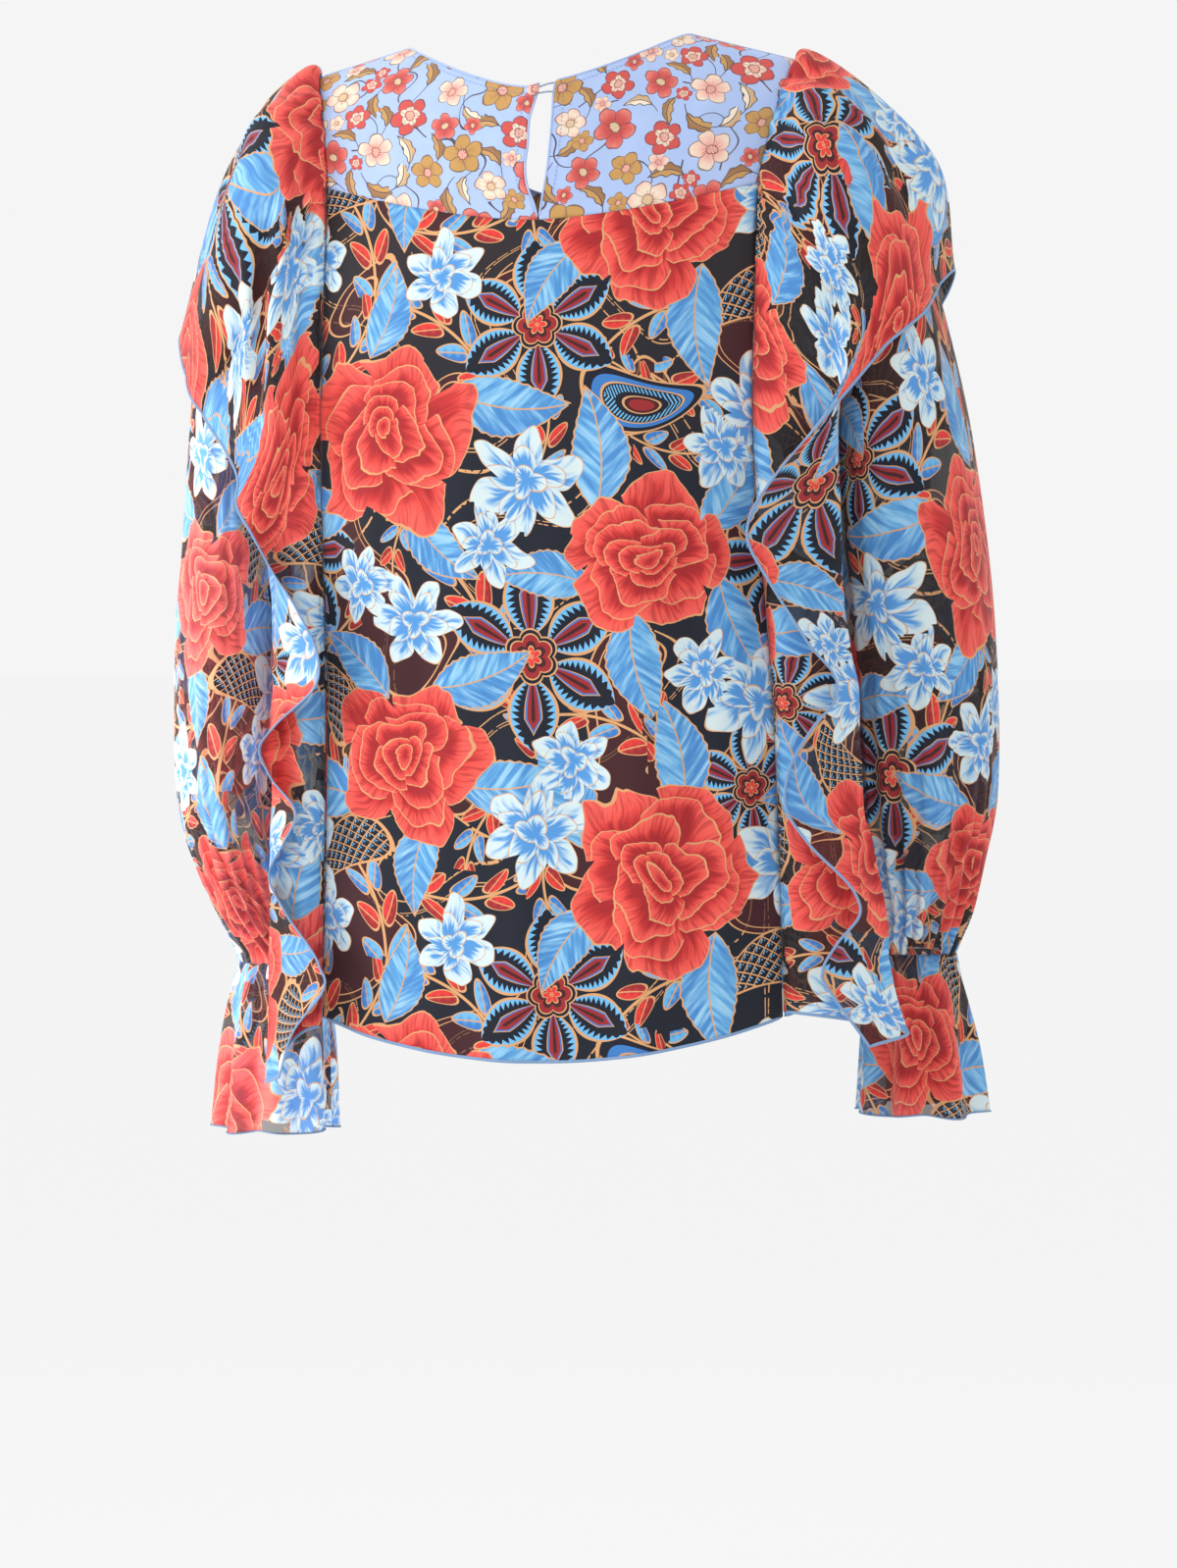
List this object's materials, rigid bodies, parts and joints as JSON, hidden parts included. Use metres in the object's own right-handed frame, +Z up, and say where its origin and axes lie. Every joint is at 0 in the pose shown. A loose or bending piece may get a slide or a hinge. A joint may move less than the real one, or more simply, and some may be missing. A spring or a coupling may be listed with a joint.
{
  "type": "blouse",
  "caption": "Long-sleeved blouse in its worn hollow form, with a yoke open in a keyhole at the back, cascade flounces down the back seams and flared frill cuffs.",
  "frame": {"origin": "between the shoulder seams, where the wearer's shoulders carry the blouse", "axes": "+Z up, +X towards the wearer's left, +Y out of the wearer's back"},
  "size_m": [0.5389, 0.2532, 0.7193],
  "materials": {
    "voile": "matt cotton voile with a small flower print",
    "chiffon": "sheer chiffon with a large flower print",
    "thread": "sewing thread"
  },
  "bodies": {
    "root": {"back_yoke_left": "voile", "back_yoke_right": "voile", "front_yoke": "voile", "back_panel": "chiffon", "front_panel": "chiffon", "side_panel_left": "chiffon", "side_panel_right": "chiffon", "sleeve_left": "chiffon", "sleeve_right": "chiffon", "cuff_left": "chiffon", "cuff_right": "chiffon", "flounce_left": "chiffon", "flounce_right": "chiffon", "neck_loop": "thread", "neck_button": "voile"}
  },
  "joints": []
}
